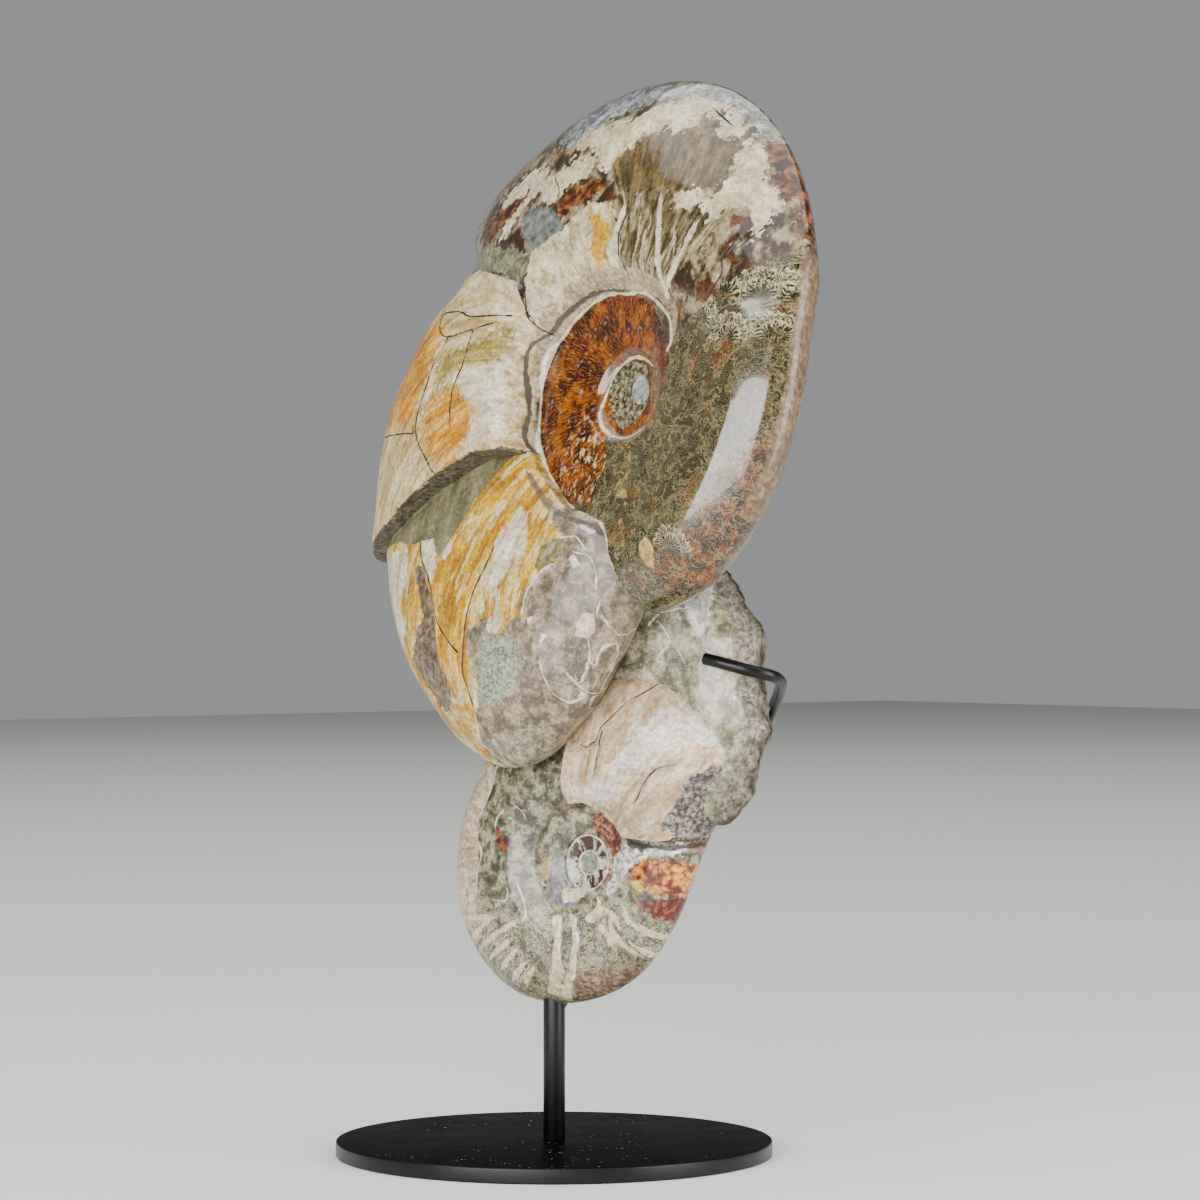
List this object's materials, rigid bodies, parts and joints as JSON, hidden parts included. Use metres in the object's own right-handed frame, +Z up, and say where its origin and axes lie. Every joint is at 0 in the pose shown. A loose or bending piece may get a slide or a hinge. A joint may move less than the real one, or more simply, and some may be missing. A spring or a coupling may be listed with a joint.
{
  "type": "ammonite specimen",
  "caption": "Large and small cut and polished ammonites grown together with grey-green rock, held upright by a post and a hooked prong on a round black steel base",
  "frame": {"origin": "Centre of the base plate's underside", "axes": "+Z is up along the post. The broad polished faces look along -Y. +X is to the right of someone who faces them, the side that the prong hooks round"},
  "size_m": [0.2811, 0.2, 0.4932],
  "materials": {
    "polished_fossil": "polished",
    "golden_shell": "satin",
    "pink_shell": "satin",
    "rock": "satin",
    "black_steel": "satin"
  },
  "bodies": {
    "root": {"large_ammonite": "polished_fossil", "large_body_chamber": "golden_shell", "small_ammonite": "pink_shell", "matrix": "rock", "base_plate": "black_steel", "post": "black_steel", "prong": "black_steel"}
  },
  "joints": []
}
